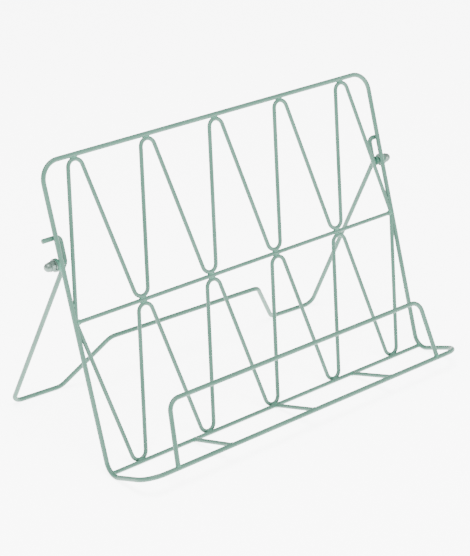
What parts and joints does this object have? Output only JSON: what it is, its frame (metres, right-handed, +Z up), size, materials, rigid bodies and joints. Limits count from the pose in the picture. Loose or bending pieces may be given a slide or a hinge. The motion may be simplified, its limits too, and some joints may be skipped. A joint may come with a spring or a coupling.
{
  "type": "wire photo album stand",
  "caption": "Folding easel stand of bent and welded wire: leaning zigzag back panel, album shelf with a page guard, and a hinged rear leg.",
  "frame": {"origin": "on the table, below the foot of the back panel, half way across", "axes": "+X to the right seen from the front, +Y from the front to the back, +Z up"},
  "size_m": [0.3232, 0.1741, 0.21],
  "materials": {
    "mint_paint": "satin mint powder coat",
    "zinc": "dull zinc plate"
  },
  "bodies": {
    "frame": {"main_loop": "mint_paint", "mid_crossbar": "mint_paint", "bottom_crossbar": "mint_paint", "upper_zigzag": "mint_paint", "lower_zigzag": "mint_paint", "page_guard": "mint_paint", "shelf_tie_left": "mint_paint", "shelf_tie_middle": "mint_paint", "shelf_tie_right": "mint_paint", "hinge_lug_left": "mint_paint", "hinge_lug_right": "mint_paint"},
    "leg": {"rear_leg": "mint_paint", "hinge_stud_left": "mint_paint", "hinge_collar_left": "mint_paint", "hinge_washer_left": "zinc", "cap_nut_left": "zinc", "hinge_stud_right": "mint_paint", "hinge_collar_right": "mint_paint", "hinge_washer_right": "zinc", "cap_nut_right": "zinc"}
  },
  "joints": [
    {"name": "leg_hinge", "type": "hinge", "parent": "frame", "child": "leg", "pos_m": [0, 0.05072, 0.14137], "axis": [-1, 0, 0], "range_deg": [0, 40.5]}
  ]
}
